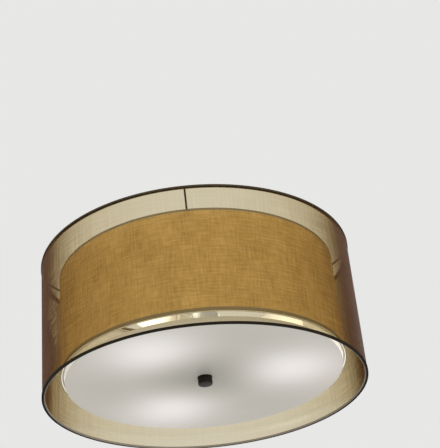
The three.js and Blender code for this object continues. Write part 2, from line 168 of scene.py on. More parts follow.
# Ceiling bracket and the small plated hardware
# Pressed steel bar with two slots for the ceiling box's screws, and the nuts and studs that hang
# the canopy from it. All are zinc plated, with eased edges; the studs are rolled thread.
EDGE_ANGLE = math.radians(35)
FLAT_ANGLE = math.radians(1)
SAME_POINT = 0.000001
SMALL_EDGE = 0.0003
STUD_PITCH = 0.0007
THREAD_DEPTH = 0.45
CREST_START, CREST_END = 0.4, 0.6


def place_on(material, stretch=(1, 1, 1)):
    """A piece's own coordinates, in metres or stretched."""
    own = node(material, "TexCoord")["Object"]
    return node(material, "Mapping", {"Vector": own, "Scale": stretch})[0]


def mottle(material, scale, place, detail=3):
    """Cloudy noise from 0 to 1."""
    return node(material, "TexNoise", {"Vector": place, "Scale": scale, "Detail": detail})["Fac"]


def between(material, fac, low, high):
    """A value that runs from low to high as fac runs from 0.3 to 0.7."""
    return node(material, "MapRange", {
        "Value": fac, "From Min": 0.3, "From Max": 0.7, "To Min": low, "To Max": high,
    })[0]


def shades(material, fac, *stops):
    """Colours along a ramp, each given as its place and its red, green and blue."""
    ramp = material.node_tree.nodes.new("ShaderNodeValToRGB")
    material.node_tree.links.new(fac, ramp.inputs["Fac"])
    steps = ramp.color_ramp.elements
    while len(steps) < len(stops):
        steps.new(0.5)
    for element, (at, colour) in zip(steps, stops):
        element.position = at
        element.color = (*colour, 1)
    return ramp.outputs["Color"]


def relief(material, height, depth):
    """A bump of the given depth in metres."""
    return node(material, "Bump", {"Height": height, "Distance": depth})[0]


def zinc_plate(name):
    """Bright zinc on steel, a little cloudy, with fine rolling marks."""
    material = finish_of(name, Metallic=1.0)
    cloud = mottle(material, 90, place_on(material))
    marks = mottle(material, 60, place_on(material, stretch=(1, 30, 12)), 4)
    drive(
        material,
        Base_Color=shades(material, cloud, (0.25, (0.50, 0.51, 0.53)), (0.75, (0.64, 0.65, 0.66))),
        Roughness=between(material, marks, 0.30, 0.42),
        Normal=relief(material, marks, 0.000008),
    )
    return material


def settled(piece, material, body, cad_node):
    """Gives a piece its finish, its body and the CAD node that it stands for."""
    piece.data.materials.append(material)
    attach(piece, body)
    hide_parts(cad_node)
    return piece


def shown(bm, name):
    """Turns a bmesh into a smooth-shaded object with crisp edges, and frees it."""
    mesh = bpy.data.meshes.new(name)
    bm.to_mesh(mesh)
    bm.free()
    mesh.shade_smooth()
    mesh.set_sharp_from_angle(angle=EDGE_ANGLE)
    piece = bpy.data.objects.new(name, mesh)
    bpy.context.scene.collection.objects.link(piece)
    return piece


def eased(source, name, width, segments=2):
    """A copy of a CAD solid with its hard edges rounded."""
    bm = bmesh.new()
    bm.from_mesh(frame["nodes"][source].data)
    bmesh.ops.remove_doubles(bm, verts=bm.verts, dist=SAME_POINT)
    bmesh.ops.dissolve_limit(bm, angle_limit=FLAT_ANGLE, verts=bm.verts, edges=bm.edges)
    bmesh.ops.recalc_face_normals(bm, faces=bm.faces)
    hard = [edge for edge in bm.edges if edge.calc_face_angle(0) > EDGE_ANGLE]
    bmesh.ops.bevel(
        bm, geom=hard, offset=width, segments=segments, affect="EDGES", profile=0.5, material=-1,
        clamp_overlap=True,
    )
    return shown(bm, name)


zinc = zinc_plate("zinc_plate")
settled(eased("ceiling_bracket", "ceiling_bar", SMALL_EDGE), zinc, "fixture", "ceiling_bracket")
for side in ("left", "right"):
    lock_nut = f"stud_lock_nut_{side}"
    settled(eased(lock_nut, f"lock_nut_{side}", SMALL_EDGE), zinc, "fixture", lock_nut)


def is_corner(vert):
    """Whether an outline turns sharply at this point and not at the axis."""
    ends = [edge.other_vert(vert).co - vert.co for edge in vert.link_edges]
    return vert.co.x > 0 and math.pi - ends[0].angle(ends[1]) > EDGE_ANGLE


def mended(bm):
    """Merges a spun shape's doubled points and turns its faces outwards."""
    bmesh.ops.remove_doubles(bm, verts=bm.verts, dist=SAME_POINT)
    bmesh.ops.recalc_face_normals(bm, faces=bm.faces)


def spun(bm, steps):
    """Spins an outline once round the Z axis into a closed skin."""
    bmesh.ops.spin(
        bm, geom=bm.verts[:] + bm.edges[:], cent=(0, 0, 0), axis=(0, 0, 1), angle=2 * math.pi,
        steps=steps, use_merge=True,
    )
    mended(bm)


def turned(outline, name, steps, rounding=0.0):
    """Turns a closed outline of radius and height round the Z axis, with its corners rounded."""
    bm = bmesh.new()
    corners = [bm.verts.new((radius, 0, height)) for radius, height in outline]
    for first, second in zip(corners, corners[1:]):
        bm.edges.new((first, second))
    if outline[0][0] > 0 or outline[-1][0] > 0:
        bm.edges.new((corners[-1], corners[0]))
    if rounding:
        bmesh.ops.bevel(
            bm, geom=[v for v in corners if is_corner(v)], offset=rounding, segments=3,
            affect="VERTICES", profile=0.5, material=-1, clamp_overlap=True,
        )
    spun(bm, steps)
    return shown(bm, name)


def moved(piece, matrix):
    """Moves a piece within its mesh, so that its object stays at the origin."""
    piece.data.transform(matrix)


def rolled_thread(radius, low, high, pitch):
    """The outline of a threaded length: a bare end, a ridge for each pitch, and a bare end."""
    depth = pitch * THREAD_DEPTH
    ridges = int((high - low - 2 * depth) / pitch)
    start = (low + high - ridges * pitch) / 2
    outline = [(radius - depth, low)]
    for i in range(ridges):
        foot = start + i * pitch
        outline += [
            (radius - depth, foot), (radius, foot + pitch * CREST_START), (radius, foot + pitch * CREST_END),
        ]
    return outline + [(radius - depth, start + ridges * pitch), (radius - depth, high)]


for side in ("left", "right"):
    low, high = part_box(f"canopy_stud_{side}")
    thread = rolled_thread((high.y - low.y) / 2, low.z, high.z, STUD_PITCH)
    stud = turned([(0, low.z), *thread, (0, high.z)], f"threaded_stud_{side}", steps=32)
    moved(stud, Matrix.Translation(((low.x + high.x) / 2, 0, 0)))
    settled(stud, zinc, "fixture", f"canopy_stud_{side}")

# Ground screw and ground wire
# A green hexagon screw in the bracket, with the bare copper wire clamped under its head and led
# down to the canopy.
GROUND_BEND = 0.003
WIRE_SIDES = 12
BEND_STEPS_PER_RADIAN = 5
JUST_OVER = 1.01


def clouded_finish(name, tones, rough=None, bump=None, **values):
    """A finish that clouds between two tones, and may do so in its roughness and its surface too.

    tones is a noise scale and two colours, rough a noise scale and two values, bump a noise scale and a depth.
    """
    material = finish_of(name, **values)
    place = place_on(material)
    scale, dark, light = tones
    drive(material, Base_Color=shades(material, mottle(material, scale, place), (0.3, dark), (0.7, light)))
    if rough:
        scale, low, high = rough
        drive(material, Roughness=between(material, mottle(material, scale, place), low, high))
    if bump:
        scale, depth = bump
        drive(material, Normal=relief(material, mottle(material, scale, place), depth))
    return material


green = clouded_finish(
    "green_passivated", (300, (0.015, 0.10, 0.045), (0.03, 0.17, 0.08)), Metallic=0.6, Roughness=0.38,
)
settled(eased("ground_screw", "green_screw", SMALL_EDGE), green, "fixture", "ground_screw")


def bent_wire(points, radius, bend, name):
    """Round wire laid along straight runs, with a smooth bend at each point between them."""
    points = [Vector(point) for point in points]
    runs = [(b - a).normalized() for a, b in zip(points, points[1:])]
    bm = bmesh.new()
    start = runs[0].to_track_quat("Z", "Y").to_matrix().to_4x4()
    start.translation = points[0]
    bmesh.ops.create_circle(bm, segments=WIRE_SIDES, radius=radius, matrix=start)
    ring = bm.edges[:]
    at = points[0].copy()
    for i, run in enumerate(runs):
        last = i == len(runs) - 1
        turn = 0 if last else run.angle(runs[i + 1])
        stop = points[i + 1] - run * (bend * math.tan(turn / 2))
        grown = bmesh.ops.extrude_edge_only(bm, edges=ring)["geom"]
        bmesh.ops.translate(bm, verts=[g for g in grown if isinstance(g, bmesh.types.BMVert)], vec=stop - at)
        ring = [g for g in grown if isinstance(g, bmesh.types.BMEdge)]
        ring = [edge for edge in ring if all((v.co - stop).length < radius * JUST_OVER for v in edge.verts)]
        at = stop
        if not last:
            axis = run.cross(runs[i + 1]).normalized()
            centre = stop + axis.cross(run) * bend
            swept = bmesh.ops.spin(
                bm, geom=ring, cent=centre, axis=axis, angle=turn, steps=max(2, round(turn * BEND_STEPS_PER_RADIAN)),
            )["geom_last"]
            ring = [g for g in swept if isinstance(g, bmesh.types.BMEdge)]
            at = points[i + 1] + runs[i + 1] * (bend * math.tan(turn / 2))
    bmesh.ops.holes_fill(bm, edges=[edge for edge in bm.edges if edge.is_boundary])
    bmesh.ops.recalc_face_normals(bm, faces=bm.faces)
    return shown(bm, name)


copper = clouded_finish(
    "bare_copper", (180, (0.55, 0.22, 0.10), (0.72, 0.34, 0.18)), rough=(500, 0.25, 0.45), Metallic=1.0,
)
low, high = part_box("ground_wire")
wire = (high.y - low.y) / 2
ground = bent_wire(
    [(low.x, 0, high.z - wire), (high.x - wire, 0, high.z - wire), (high.x - wire, 0, low.z)],
    wire, GROUND_BEND, "ground_lead",
)
settled(ground, copper, "fixture", "ground_wire")

# Canopy and its cap nuts
# A spun steel dish that covers the ceiling box, and two domed nuts on the studs that hold it up.
# Both are painted dark bronze with a satin, slightly brushed surface.
CANOPY_WALL = 0.0012
CANOPY_RIM = 0.004
CANOPY_SHOULDER = 0.012
SHOULDER_STEPS = 10
CLEARANCE = 0.0003
CAP_GRIP = 0.0032
CAP_HOLE = 0.0023
CAP_DEPTH = 0.006
DOME_SHARE = 0.94
DOME_STEPS = 8


def bronze_paint(name):
    """Dark satin bronze, with fine marks round it as turning and brushing leave."""
    material = finish_of(name, Metallic=0.6, Specular_IOR_Level=0.25)
    cloud = mottle(material, 60, place_on(material), 5)
    marks = mottle(material, 60, place_on(material, stretch=(0.6, 0.6, 40)), 4)
    drive(
        material,
        Base_Color=shades(
            material, cloud, (0.25, (0.013, 0.010, 0.007)), (0.6, (0.021, 0.016, 0.011)), (0.85, (0.036, 0.025, 0.017)),
        ),
        Roughness=between(material, marks, 0.34, 0.50),
        Normal=relief(material, marks, 0.00002),
    )
    return material


bronze = bronze_paint("bronze_paint")
dish_low, dish_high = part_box("canopy")
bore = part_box("stem_pipe")[1].x + CLEARANCE


def shoulder(inset):
    """The dish's rounded shoulder, from its floor to its wall."""
    arc = []
    for i in range(SHOULDER_STEPS + 1):
        angle = i / SHOULDER_STEPS * math.pi / 2
        arc.append((
            dish_high.x - inset - CANOPY_SHOULDER + CANOPY_SHOULDER * math.sin(angle),
            -(CANOPY_RIM - inset) + (dish_low.z + CANOPY_RIM) * math.cos(angle),
        ))
    return arc


dish = turned(
    [
        (bore, dish_low.z), *shoulder(0), (dish_high.x, 0), (dish_high.x - CANOPY_WALL, 0),
        *reversed(shoulder(CANOPY_WALL)), (bore, dish_low.z + CANOPY_WALL),
    ],
    "canopy_dish", steps=96,
)
settled(dish, bronze, "fixture", "canopy")
for side in ("left", "right"):
    low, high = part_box(f"canopy_cap_nut_{side}")
    radius = (high.y - low.y) / 2
    grip = high.z - CAP_GRIP
    dome = [(0, low.z)]
    for i in range(1, DOME_STEPS + 1):
        angle = i / DOME_STEPS * math.pi / 2
        dome.append((radius * DOME_SHARE * math.sin(angle), grip - (grip - low.z) * math.cos(angle)))
    cap = turned(
        [
            *dome, (radius, grip + SMALL_EDGE), (radius, high.z), (CAP_HOLE, high.z), (CAP_HOLE, high.z - CAP_DEPTH),
            (0, high.z - CAP_DEPTH),
        ],
        f"domed_nut_{side}", steps=48,
    )
    moved(cap, Matrix.Translation(((low.x + high.x) / 2, 0, 0)))
    settled(cap, bronze, "fixture", f"canopy_cap_nut_{side}")

# Stem
# A threaded steel pipe carries the whole light and its wires. A lock nut holds it in the canopy
# and two turned bronze tubes cover it, above and below the spider.
PIPE_PITCH = 0.00094
PIPE_BORE = 0.0034
STEM_WALL = 0.0014
NUT_EDGE = 0.0005

low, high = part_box("stem_pipe")
thread = rolled_thread(high.x, low.z, high.z, PIPE_PITCH)
pipe = turned([(PIPE_BORE, low.z), *thread, (PIPE_BORE, high.z)], "threaded_pipe", steps=48)
settled(pipe, zinc, "fixture", "stem_pipe")
settled(eased("canopy_pipe_nut", "canopy_nut", NUT_EDGE), zinc, "fixture", "canopy_pipe_nut")


def bored(source, hole, name, steps, rounding):
    """A turned tube or disc in the place of a CAD node, with a hole of the given radius."""
    low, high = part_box(source)
    return turned([(hole, low.z), (high.x, low.z), (high.x, high.z), (hole, high.z)], name, steps, rounding)


for cover in ("upper_stem_cover", "lower_stem_cover"):
    tube = bored(cover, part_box(cover)[1].x - STEM_WALL, cover.replace("cover", "tube"), steps=64, rounding=0.0005)
    settled(tube, bronze, "fixture", cover)

# Spider
# A bronze hub clamped on the pipe by a nut, and four wires from it that pass over the linen
# shade's top edge and rise to the sheer shade's top ring, where they are welded.
ARM_WIRE = 0.0015
ARM_BEND = 0.006
ARM_ROOT = 0.001
ARM_PAST_LINEN = 0.0015
ARM_INSIDE_RING, ARM_BELOW_RING = 0.0008, 0.0012
FIRST_ARM_DEGREES = -1.5

hub = bored("spider_hub", bore, "hub_disc", steps=64, rounding=0.0006)
settled(hub, bronze, "fixture", "spider_hub")
settled(eased("spider_nut", "hub_nut", NUT_EDGE), zinc, "fixture", "spider_nut")
ring_low, ring_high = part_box("outer_top_ring")
ring_wire = (ring_high.z - ring_low.z) / 2
ring_radius = ring_high.y - ring_wire
arm_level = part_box("spider_arm_1")[0].z + ARM_WIRE
arm_route = [
    (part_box("spider_hub")[1].x - ARM_ROOT, 0, arm_level),
    (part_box("inner_linen_shade")[1].y + ARM_PAST_LINEN, 0, arm_level),
    (ring_radius - ARM_INSIDE_RING, 0, ring_high.z - ring_wire - ARM_BELOW_RING),
]
for i in range(4):
    arm = bent_wire(arm_route, ARM_WIRE, ARM_BEND, f"spoke_{i + 1}")
    moved(arm, Matrix.Rotation(math.radians(FIRST_ARM_DEGREES + 90 * i), 4, "Z"))
    settled(arm, bronze, "fixture", f"spider_arm_{i + 1}")

# Outer shade
# Bronze organza laminated on clear film, rolled round a wire ring at the top and at the bottom
# and bound there with bronze tape, painted darker at the bottom as shade. Its seam is an overlap at one side.
SHADE_STEPS = 180
SHEER_WALL = 0.0006
SHEER_INSET = 0.0007
SEAM_TURN = math.radians(176)
SEAM_WIDTH = 0.010
SHEER_LAP = (0.0001, 0.0003)
SHEER_LAP_INSET = 0.0045
TAPE_WALL = 0.0006
TAPE_TUCK = 0.0002
ORGANZA_PITCH = 0.0011
ORGANZA_COVER = 0.05
COVER_GAIN = 3.2
ORGANZA_TINT = (0.87, 0.80, 0.62)
LEAST_SQUARE = 0.12
FILM_SHINE = 0.07
RIB_PITCH = 0.0009
ROLL_LIT = 0.0006


def wire_ring(source, name):
    """A ring of round wire in the place of a CAD ring."""
    low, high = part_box(source)
    wire = (high.z - low.z) / 2
    bm = bmesh.new()
    section = Matrix.Translation((high.y - wire, 0, low.z + wire)) @ Matrix.Rotation(math.pi / 2, 4, "X")
    bmesh.ops.create_circle(bm, segments=WIRE_SIDES, radius=wire, matrix=section)
    spun(bm, SHADE_STEPS)
    return shown(bm, name)


def unrolled(bm, radius):
    """Lays a round wall's map out flat, in metres."""
    flat = bm.loops.layers.uv.new("flat")
    for face in bm.faces:
        middle = face.calc_center_median()
        turn = math.atan2(middle.y, middle.x)
        for loop in face.loops:
            point = loop.vert.co
            off = math.atan2(point.y, point.x) - turn
            off -= 2 * math.pi * round(off / (2 * math.pi))
            loop[flat].uv = ((turn + off) * radius, point.z)


def round_wall(outer, inner, bottom, top, name, start=0.0, sweep=2 * math.pi, rows=6):
    """A thin closed wall round the Z axis, mapped flat; its inside faces take the second material."""
    whole = sweep >= 2 * math.pi
    bm = bmesh.new()
    rise = [bottom + (top - bottom) * i / rows for i in range(rows + 1)]
    corners = [bm.verts.new((outer, 0, z)) for z in rise] + [bm.verts.new((inner, 0, z)) for z in reversed(rise)]
    for first, second in zip(corners, corners[1:] + corners[:1]):
        bm.edges.new((first, second))
    if not whole:
        bm.faces.new(corners)
        bmesh.ops.rotate(bm, verts=bm.verts, cent=(0, 0, 0), matrix=Matrix.Rotation(start, 3, "Z"))
    bmesh.ops.spin(
        bm, geom=bm.verts[:] + bm.edges[:] + bm.faces[:], cent=(0, 0, 0), axis=(0, 0, 1), angle=sweep,
        steps=max(2, round(SHADE_STEPS * sweep / (2 * math.pi))), use_merge=whole,
    )
    mended(bm)
    unrolled(bm, outer)
    middle = (outer + inner) / 2
    for face in bm.faces:
        face.material_index = int(all(math.hypot(v.co.x, v.co.y) < middle for v in face.verts))
    return shown(bm, name)


def on_wall(material, along=1, up=1):
    """Coordinates along and up a shade's wall, in metres or stretched."""
    flat = node(material, "UVMap", uv_map="flat")[0]
    return node(material, "Mapping", {"Vector": flat, "Scale": (along, up, 1)})[0]


def wall_mottle(material, along, up, detail):
    """Cloudy noise on a shade's wall, finer along it or up it."""
    return mottle(material, 1, on_wall(material, along, up), detail)


def threads(material, across_them, pitch, wander=0.0):
    """A wave with one crest to a thread, along the coordinate that runs across the threads."""
    return sums(material, "SINE", sums(material, "MULTIPLY_ADD", across_them, 2 * math.pi / pitch, wander))


def plain_weave(material, pitch, wander=0.0):
    """Threads along a wall and up it, over and under each other."""
    place = node(material, "SeparateXYZ", {0: on_wall(material)})
    warp = threads(material, place["X"], pitch, wander)
    weft = threads(material, place["Y"], pitch, wander)
    return sums(material, "MULTIPLY", warp, weft)


def facing(material):
    """How far a face turns from the eye: 0 square on and 1 at its edge."""
    return node(material, "LayerWeight", {"Blend": 0.5})["Facing"]


def slant_path(material, gain):
    """How much of a cloth sight goes through: one layer square on, and ever more at a slant."""
    square_on = sums(material, "MAXIMUM", sums(material, "SUBTRACT", 1.0, facing(material)), LEAST_SQUARE)
    return sums(material, "POWER", square_on, -gain)


def sheer_cover(material, cover):
    """How much of what is behind a cloth its threads cover, soon all of it at a slant."""
    bare = sums(material, "SUBTRACT", 1.0, cover)
    return sums(material, "SUBTRACT", 1.0, sums(material, "POWER", bare, slant_path(material, COVER_GAIN)))


def tinted_clear(material, tint):
    """A clear shader whose colour deepens with the thickness that sight goes through."""
    path = slant_path(material, 1.0)
    deep = [sums(material, "POWER", part, path) for part in tint]
    colour = node(material, "CombineColor", {"Red": deep[0], "Green": deep[1], "Blue": deep[2]})[0]
    return node(material, "BsdfTransparent", {"Color": colour})[0]


def seen_through(material, share, clear):
    """Mixes a clear shader with a material's own surface, whose share of the whole is given."""
    tree = material.node_tree
    mixed = node(material, "MixShader", {"Fac": share})[0]
    tree.links.new(clear, mixed.node.inputs[1])
    tree.links.new(tree.nodes["Principled BSDF"].outputs[0], mixed.node.inputs[2])
    tree.links.new(mixed, tree.nodes["Material Output"].inputs["Surface"])


def organza(name):
    """Bronze organza: fine two-way threads over a bronze tint that deepens to copper at a slant."""
    material = finish_of(
        name, Roughness=0.6, Specular_IOR_Level=0.03, Sheen_Weight=0.08, Sheen_Roughness=0.4,
        Sheen_Tint=(0.70, 0.28, 0.10, 1),
    )
    weave = plain_weave(material, ORGANZA_PITCH)
    streaks = sums(material, "ADD", wall_mottle(material, 420, 14, 4), wall_mottle(material, 14, 420, 4))
    uneven = sums(material, "MULTIPLY_ADD", sums(material, "SUBTRACT", streaks, 1.0), 0.09, ORGANZA_COVER)
    cover = sums(material, "MULTIPLY_ADD", weave, 0.03, uneven)
    drive(
        material,
        Base_Color=shades(
            material, sums(material, "MULTIPLY", streaks, 0.5),
            (0.35, (0.085, 0.038, 0.018)), (0.5, (0.110, 0.050, 0.024)), (0.65, (0.140, 0.066, 0.031)),
        ),
        Normal=relief(material, weave, 0.00008),
    )
    seen_through(material, sheer_cover(material, cover), tinted_clear(material, ORGANZA_TINT))
    return material


def clear_film(name):
    """The organza's clear backing: a gloss on what is seen through it, stronger at a slant."""
    material = finish_of(name, Base_Color=(0.96, 0.90, 0.82, 1), Metallic=1.0, Roughness=0.14)
    grazing = sums(material, "POWER", facing(material), 5.0)
    shine = sums(material, "MULTIPLY_ADD", grazing, 1 - FILM_SHINE, FILM_SHINE)
    drive(material, Normal=relief(material, wall_mottle(material, 30, 8, 2), 0.0002))
    seen_through(material, shine, node(material, "BsdfTransparent", {"Color": (0.97, 0.965, 0.95, 1)})[0])
    return material


def bronze_tape(name, dark, light):
    """Woven bronze tape with a fine upright rib."""
    material = finish_of(
        name, Sheen_Weight=0.03, Sheen_Roughness=0.5, Sheen_Tint=(0.6, 0.45, 0.3, 1), Specular_IOR_Level=0.06,
    )
    place = node(material, "SeparateXYZ", {0: on_wall(material)})
    rib = threads(material, place["X"], RIB_PITCH)
    grain = wall_mottle(material, 240, 900, 4)
    drive(
        material,
        Base_Color=shades(material, grain, (0.3, dark), (0.7, light)),
        Roughness=between(material, grain, 0.6, 0.85),
        Normal=relief(material, sums(material, "ADD", rib, grain), 0.00012),
    )
    return material


def rolled_edge(name, outside):
    """Cloth rolled round a ring's wire: dark outside, and painted paler inside, as painted light where the diffuser's
    light falls on it.
    """
    material = finish_of(name, Specular_IOR_Level=0.2)
    out = node(material, "VectorMath", {0: place_on(material, stretch=(1, 1, 0))}, operation="LENGTH")["Value"]
    # Mask of the painted light: from none at the wire's middle to most on the wire's inner side.
    inward = node(material, "MapRange", {
        "Value": out, "From Min": ring_radius, "From Max": ring_radius - ROLL_LIT, "To Min": 0.0, "To Max": 0.85,
    })[0]
    grain = mottle(material, 700, place_on(material), 4)
    drive(
        material,
        Base_Color=shades(
            material, sums(material, "MULTIPLY_ADD", grain, 0.15, inward),
            (0.12, outside), (0.5, (0.12, 0.095, 0.070)), (0.95, (0.38, 0.33, 0.26)),
        ),
        Roughness=between(material, grain, 0.5, 0.7),
        Normal=relief(material, grain, 0.00003),
    )
    return material


organza_cloth = organza("bronze_organza")
film = clear_film("clear_film")
# The lower tape and roll are darker copies of the upper ones: painted shade on the same cloth.
tape_of = {
    "top": bronze_tape("upper_tape", (0.060, 0.045, 0.024), (0.105, 0.080, 0.044)),
    "bottom": bronze_tape("shaded_lower_tape", (0.012, 0.009, 0.005), (0.026, 0.019, 0.011)),
}
rolled_of = {
    "top": rolled_edge("upper_roll", (0.052, 0.039, 0.022)),
    "bottom": rolled_edge("shaded_lower_roll", (0.013, 0.010, 0.007)),
}
for edge in ("top", "bottom"):
    ring = wire_ring(f"outer_{edge}_ring", f"outer_{edge}_wire")
    settled(ring, rolled_of[edge], "fixture", f"outer_{edge}_ring")

low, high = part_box("outer_sheer_shade")
sheer_radius, sheer_inside = high.y, high.y - SHEER_WALL
sheer = round_wall(sheer_radius, sheer_inside, low.z + SHEER_INSET, high.z - SHEER_INSET, "sheer_cloth")
sheer.data.materials.append(organza_cloth)
settled(sheer, film, "fixture", "outer_sheer_shade")
lap = round_wall(
    sheer_inside - SHEER_LAP[0], sheer_inside - SHEER_LAP[1], low.z + SHEER_LAP_INSET, high.z - SHEER_LAP_INSET,
    "sheer_seam", SEAM_TURN, SEAM_WIDTH / sheer_radius,
)
lap.data.materials.append(organza_cloth)
lap.data.materials.append(film)
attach(lap, "fixture")

for edge in ("top", "bottom"):
    low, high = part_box(f"outer_{edge}_trim")
    outermost, reach = (high.z, low.z) if edge == "top" else (low.z, high.z)
    lip = outermost + math.copysign(TAPE_WALL, reach - outermost)
    tuck = sheer_inside - TAPE_TUCK
    band = turned(
        [
            (high.y - TAPE_WALL, reach), (high.y, reach), (high.y, outermost), (tuck, outermost), (tuck, lip),
            (high.y - TAPE_WALL, lip),
        ],
        f"outer_{edge}_tape", SHADE_STEPS, rounding=0.00015,
    )
    bm = bmesh.new()
    bm.from_mesh(band.data)
    unrolled(bm, high.y)
    bm.to_mesh(band.data)
    bm.free()
    settled(band, tape_of[edge], "fixture", f"outer_{edge}_trim")

# Inner shade
# Golden slub linen laminated on white styrene, on a white wire ring at the top and at the
# bottom. The bulbs' light through it is painted in as a glow, with a painted shadow band over
# each ring; the styrene inside has a painted glow too.
LINEN_WALL = 0.0008
LINER_WALL = 0.0005
LINEN_LAP = (0.0006, 0.0001)
LINEN_PITCH = 0.0010
LINEN_GLOW = 0.55
RING_SHADOW = 0.0042
SHADOW_EDGE = 0.001
EDGE_SHIFT = 0.0008
# The colour of the painted ring shadow band on the linen.
RING_SHADOW_TONE = (0.44, 0.39, 0.30, 1)
# Painted glow of the bulbs' light on the styrene inside, strongest along its lower edge.
LINER_GLOW = 0.14
LOW_GLOW = 0.60
GLOW_REACH = 0.030


def linen_weave(name, bottom, top):
    """Golden linen: a plain weave with thick and thin threads both ways, with a painted glow of the bulbs' light
    through it and a painted shadow band over each ring.
    """
    material = finish_of(
        name, Sheen_Weight=0.15, Sheen_Roughness=0.5, Sheen_Tint=(0.95, 0.8, 0.5, 1), Specular_IOR_Level=0.25,
    )
    weave = plain_weave(material, LINEN_PITCH, sums(material, "MULTIPLY", wall_mottle(material, 60, 60, 2), 6.0))
    both_ways = sums(material, "ADD", wall_mottle(material, 360, 40, 5), wall_mottle(material, 40, 360, 5))
    slubs = sums(material, "MULTIPLY", both_ways, 0.5)
    tone = sums(material, "MULTIPLY", slubs, 0.75)
    tone = sums(material, "MULTIPLY_ADD", wall_mottle(material, 24, 24, 3), 0.25, tone)
    tone = sums(material, "MULTIPLY_ADD", weave, 0.03, tone)
    golden = shades(
        material, tone, (0.36, (0.333, 0.209, 0.063)), (0.46, (0.45, 0.295, 0.102)), (0.54, (0.522, 0.351, 0.132)),
        (0.64, (0.62, 0.437, 0.189)),
    )
    height = node(material, "SeparateXYZ", {0: on_wall(material)})["Y"]
    from_middle = sums(material, "ABSOLUTE", sums(material, "SUBTRACT", height, (bottom + top) / 2 + EDGE_SHIFT))
    lit_to = (top - bottom) / 2 - RING_SHADOW
    lit = node(material, "MapRange", {
        "Value": from_middle, "From Min": lit_to, "From Max": lit_to - SHADOW_EDGE, "To Min": 0.0, "To Max": 1.0,
    })[0]
    # Painted shade and light: the bands over the rings take the painted shadow tone and no glow, and the rest glows
    # with painted light of the bulbs behind.
    colour = node(material, "Mix", {"Factor": lit, 6: RING_SHADOW_TONE, 7: golden}, data_type="RGBA")[2]
    drive(
        material, Base_Color=colour, Roughness=between(material, slubs, 0.75, 0.92), Emission_Color=colour,
        Normal=relief(material, sums(material, "MULTIPLY_ADD", slubs, 3.0, weave), 0.00018),
        Emission_Strength=sums(material, "MULTIPLY", lit, LINEN_GLOW),
    )
    return material


def white_backing(name, bottom):
    """White styrene, faintly mottled, with a painted glow of the bulbs' light, most at its lower edge beside the
    diffuser.
    """
    material = finish_of(name, Roughness=0.45, Emission_Color=(1.0, 0.94, 0.84, 1))
    place = place_on(material)
    glow = node(material, "MapRange", {
        "Value": node(material, "SeparateXYZ", {0: place})["Z"], "From Min": bottom,
        "From Max": bottom + GLOW_REACH, "To Min": LOW_GLOW, "To Max": LINER_GLOW,
    }, interpolation_type="SMOOTHSTEP")[0]
    cloud = mottle(material, 30, place, 4)
    drive(
        material, Emission_Strength=glow,
        Base_Color=shades(material, cloud, (0.3, (0.80, 0.78, 0.72)), (0.7, (0.87, 0.85, 0.80))),
        Normal=relief(material, mottle(material, 400, place), 0.00002),
    )
    return material


linen = linen_weave("golden_linen", *(corner.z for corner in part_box("inner_linen_shade")))
backing = white_backing("white_styrene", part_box("inner_shade_liner")[0].z)
enamel = clouded_finish(
    "white_enamel", (90, (0.60, 0.58, 0.53), (0.68, 0.66, 0.61)), bump=(1500, 0.00001), Roughness=0.4,
)
for edge in ("top", "bottom"):
    ring = wire_ring(f"inner_{edge}_ring", f"inner_{edge}_wire")
    settled(ring, enamel, "fixture", f"inner_{edge}_ring")
low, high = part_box("inner_shade_liner")
liner = round_wall(high.y, high.y - LINER_WALL, low.z, high.z, "styrene_liner", rows=2)
settled(liner, backing, "fixture", "inner_shade_liner")
low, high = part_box("inner_linen_shade")
linen_radius = high.y
cloth = round_wall(linen_radius, linen_radius - LINEN_WALL, low.z, high.z, "linen_cloth")
settled(cloth, linen, "fixture", "inner_linen_shade")
linen_lap = round_wall(
    linen_radius + LINEN_LAP[0], linen_radius + LINEN_LAP[1], low.z, high.z, "linen_seam", SEAM_TURN,
    SEAM_WIDTH / linen_radius,
)
linen_lap.data.materials.append(linen)
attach(linen_lap, "fixture")

# Cluster
# A turned cup on the end of the pipe, with the sockets' nipples through its wall, the lock nut
# inside it, and the plate that closes it from below. All are zinc plated.
CUP_WALL = 0.003
CUP_TOP = 0.005
PLATE_THICK = 0.003
PLATE_RIM = 0.0025

low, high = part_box("cluster_body")
cup_inside = high.x - CUP_WALL
cup = turned(
    [
        (bore, high.z - CUP_TOP), (cup_inside, high.z - CUP_TOP), (cup_inside, low.z), (high.x, low.z),
        (high.x, high.z), (bore, high.z),
    ],
    "cluster_cup", steps=96, rounding=0.0008,
)
settled(cup, zinc, "fixture", "cluster_body")
settled(eased("cluster_pipe_nut", "cluster_nut", NUT_EDGE), zinc, "fixture", "cluster_pipe_nut")
rod_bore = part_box("diffuser_rod")[1].x + CLEARANCE
low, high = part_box("cluster_cover")
seat = low.z + PLATE_THICK
rim = high.x - CUP_WALL - CLEARANCE
plate = turned(
    [
        (rod_bore, low.z), (high.x, low.z), (high.x, seat), (rim, seat), (rim, high.z), (rim - PLATE_RIM, high.z),
        (rim - PLATE_RIM, seat), (rod_bore, seat),
    ],
    "cluster_plate", steps=96, rounding=0.0005,
)
settled(plate, zinc, "fixture", "cluster_cover")

# Sockets
# Three white glazed porcelain housings on steel nipples, each with a brass screw shell that lines
# it. A ring stands out round the mouth, with a shallow groove behind it.
HOUSING_CHAMFER = 0.004
HOUSING_WAIST = 0.0006
MOUTH_RING = ((HOUSING_WAIST, 0.010), (0.0014, 0.0095), (0.0014, 0.008), (0, 0.0075), (0, 0))
SHELL_WALL = 0.0005
LAMP_LEVEL = (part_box("socket_housing_1")[0].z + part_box("socket_housing_1")[1].z) / 2

lamp_lines = [
    Vector(joint["axis"]) for joint in frame["record"]["behaviour"]["joints"] if joint["name"].startswith("bulb_turn")
]
lamp_turns = [math.atan2(line.y, line.x) for line in lamp_lines]


